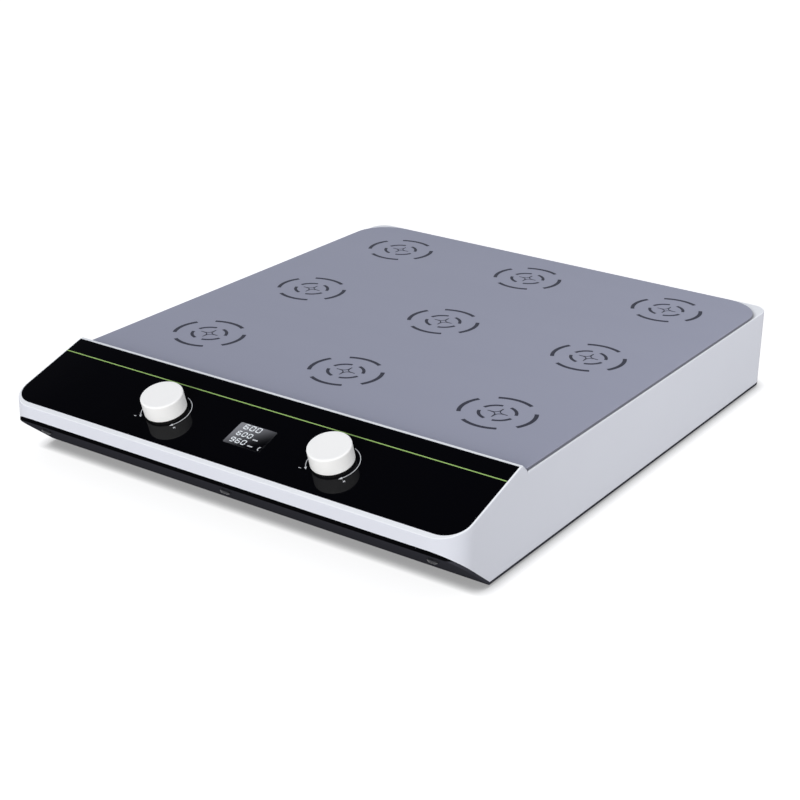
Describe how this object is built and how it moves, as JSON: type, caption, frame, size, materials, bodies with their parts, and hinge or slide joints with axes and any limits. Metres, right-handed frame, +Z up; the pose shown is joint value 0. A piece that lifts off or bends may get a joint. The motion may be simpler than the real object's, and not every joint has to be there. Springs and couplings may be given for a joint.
{
  "type": "multi-position magnetic stirrer",
  "caption": "Flat magnetic stirrer: a grey work plate with a grid of ringed places, a sloping black glass control panel with dial knobs and a small display, on a dark tray with rubber feet.",
  "frame": {"origin": "bench level under the middle of the overall width and length", "axes": "+Z up, +Y from the control panel to the mains inlet at the back, +X to the right seen from the control panel"},
  "size_m": [0.298, 0.3676, 0.0593],
  "materials": {
    "white_plastic": "fine satin moulding",
    "plate_finish": "satin grey coat with fine dark ring marks",
    "panel_glass": "black gloss with one thin green line",
    "display_glass": "smoked window over white digits",
    "knob_plastic": "smooth white, fine rim bevel",
    "tray_steel": "black powder coat",
    "rubber": "matt",
    "steel": "zinc-plated",
    "brass": "turned",
    "aluminium": "milled",
    "black_plastic": "moulded",
    "board": "circuit board, green mask",
    "magnet": "nickel-plated",
    "grey_plastic": "moulded"
  },
  "bodies": {
    "housing": {"housing_shell": "white_plastic", "top_plate": "plate_finish", "control_panel": "panel_glass", "display_window": "display_glass", "display_module": "black_plastic", "control_board": "board", "control_board_screws": "steel", "time_encoder": "grey_plastic", "speed_encoder": "grey_plastic", "encoder_nuts": "steel", "base_tray": "tray_steel", "rubber_feet": "rubber", "base_screws": "steel", "front_screws": "steel", "motor_plate": "aluminium", "plate_pillars": "brass", "pillar_screws": "steel", "motor_screws": "steel", "power_supply": "board", "motor_driver": "board", "power_board_screws": "steel", "mains_inlet": "black_plastic", "inlet_pins": "brass", "inlet_screws": "steel", "switch_frame": "black_plastic", "motor_1": "steel", "motor_2": "steel", "motor_3": "steel", "motor_4": "steel", "motor_5": "steel", "motor_6": "steel", "motor_7": "steel", "motor_8": "steel", "motor_9": "steel"},
    "switch_rocker": {"switch_rocker": "black_plastic"},
    "rotor_1": {"magnet_carrier_1": "aluminium", "magnets_1": "magnet"},
    "rotor_2": {"magnet_carrier_2": "aluminium", "magnets_2": "magnet"},
    "rotor_3": {"magnet_carrier_3": "aluminium", "magnets_3": "magnet"},
    "rotor_4": {"magnet_carrier_4": "aluminium", "magnets_4": "magnet"},
    "rotor_5": {"magnet_carrier_5": "aluminium", "magnets_5": "magnet"},
    "rotor_6": {"magnet_carrier_6": "aluminium", "magnets_6": "magnet"},
    "rotor_7": {"magnet_carrier_7": "aluminium", "magnets_7": "magnet"},
    "rotor_8": {"magnet_carrier_8": "aluminium", "magnets_8": "magnet"},
    "rotor_9": {"magnet_carrier_9": "aluminium", "magnets_9": "magnet"},
    "time_dial": {"time_detent_drum": "grey_plastic"},
    "time_knob": {"time_shaft": "aluminium", "time_knob": "knob_plastic"},
    "speed_dial": {"speed_detent_drum": "grey_plastic"},
    "speed_knob": {"speed_shaft": "aluminium", "speed_knob": "knob_plastic"}
  },
  "joints": [
    {"name": "stir_1", "type": "hinge", "parent": "housing", "child": "rotor_1", "pos_m": [-0.1, -0.06675, 0.04], "axis": [0, 0, 1], "continuous": true},
    {"name": "stir_2", "type": "hinge", "parent": "housing", "child": "rotor_2", "pos_m": [0, -0.06675, 0.04], "axis": [0, 0, 1], "continuous": true},
    {"name": "stir_3", "type": "hinge", "parent": "housing", "child": "rotor_3", "pos_m": [0.1, -0.06675, 0.04], "axis": [0, 0, 1], "continuous": true},
    {"name": "stir_4", "type": "hinge", "parent": "housing", "child": "rotor_4", "pos_m": [-0.1, 0.03325, 0.04], "axis": [0, 0, 1], "continuous": true},
    {"name": "stir_5", "type": "hinge", "parent": "housing", "child": "rotor_5", "pos_m": [0, 0.03325, 0.04], "axis": [0, 0, 1], "continuous": true},
    {"name": "stir_6", "type": "hinge", "parent": "housing", "child": "rotor_6", "pos_m": [0.1, 0.03325, 0.04], "axis": [0, 0, 1], "continuous": true},
    {"name": "stir_7", "type": "hinge", "parent": "housing", "child": "rotor_7", "pos_m": [-0.1, 0.13325, 0.04], "axis": [0, 0, 1], "continuous": true},
    {"name": "stir_8", "type": "hinge", "parent": "housing", "child": "rotor_8", "pos_m": [0, 0.13325, 0.04], "axis": [0, 0, 1], "continuous": true},
    {"name": "stir_9", "type": "hinge", "parent": "housing", "child": "rotor_9", "pos_m": [0.1, 0.13325, 0.04], "axis": [0, 0, 1], "continuous": true},
    {"name": "time_turn", "type": "hinge", "parent": "housing", "child": "time_dial", "pos_m": [-0.054, -0.15372, 0.03479], "axis": [0, -0.3007, 0.9537], "continuous": true},
    {"name": "time_press", "type": "slide", "parent": "time_dial", "child": "time_knob", "axis": [0, 0.3007, -0.9537], "range_m": [0, 0.0004], "stiffness_N_per_m": 4000, "springref_m": -0.0002},
    {"name": "speed_turn", "type": "hinge", "parent": "housing", "child": "speed_dial", "pos_m": [0.058, -0.15372, 0.03479], "axis": [0, -0.3007, 0.9537], "continuous": true},
    {"name": "speed_press", "type": "slide", "parent": "speed_dial", "child": "speed_knob", "axis": [0, 0.3007, -0.9537], "range_m": [0, 0.0004], "stiffness_N_per_m": 4000, "springref_m": -0.0002},
    {"name": "power_rock", "type": "hinge", "parent": "housing", "child": "switch_rocker", "pos_m": [-0.104, 0.17795, 0.024], "axis": [1, 0, 0], "range_deg": [-22, 0]}
  ],
  "couplings": [
    {"joint": "stir_2", "follows": "stir_1", "ratio": 1},
    {"joint": "stir_3", "follows": "stir_1", "ratio": 1},
    {"joint": "stir_4", "follows": "stir_1", "ratio": 1},
    {"joint": "stir_5", "follows": "stir_1", "ratio": 1},
    {"joint": "stir_6", "follows": "stir_1", "ratio": 1},
    {"joint": "stir_7", "follows": "stir_1", "ratio": 1},
    {"joint": "stir_8", "follows": "stir_1", "ratio": 1},
    {"joint": "stir_9", "follows": "stir_1", "ratio": 1}
  ]
}
